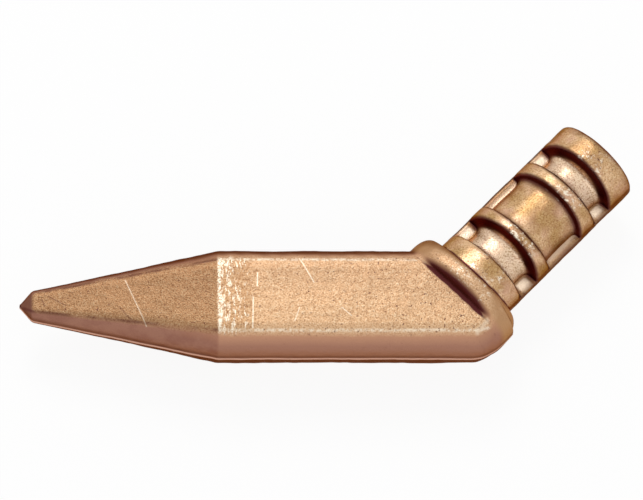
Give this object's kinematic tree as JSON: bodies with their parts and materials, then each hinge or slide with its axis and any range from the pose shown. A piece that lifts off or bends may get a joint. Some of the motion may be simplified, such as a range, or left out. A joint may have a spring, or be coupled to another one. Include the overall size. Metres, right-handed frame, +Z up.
{
  "type": "soldering copper",
  "caption": "Pointed soldering bit: a chamfered copper bar with a pyramid point, a rounded heel with a raised collar, and a ribbed round heating shank set at an angle.",
  "frame": {"origin": "on the surface the copper lies on, under the middle of its bounding box", "axes": "+Z up, square to the parting plane of the forging; +X along the bar from the point to the heel; the shank leaves the heel towards +X +Y"},
  "size_m": [0.1354, 0.0536, 0.0234],
  "materials": {
    "head_copper": "forged, fine-grained, with worn edges",
    "shank_copper": "forged, satin, with dark heat-stained pockets"
  },
  "bodies": {
    "root": {"copper_head": "head_copper", "heating_shank": "shank_copper"}
  },
  "joints": []
}
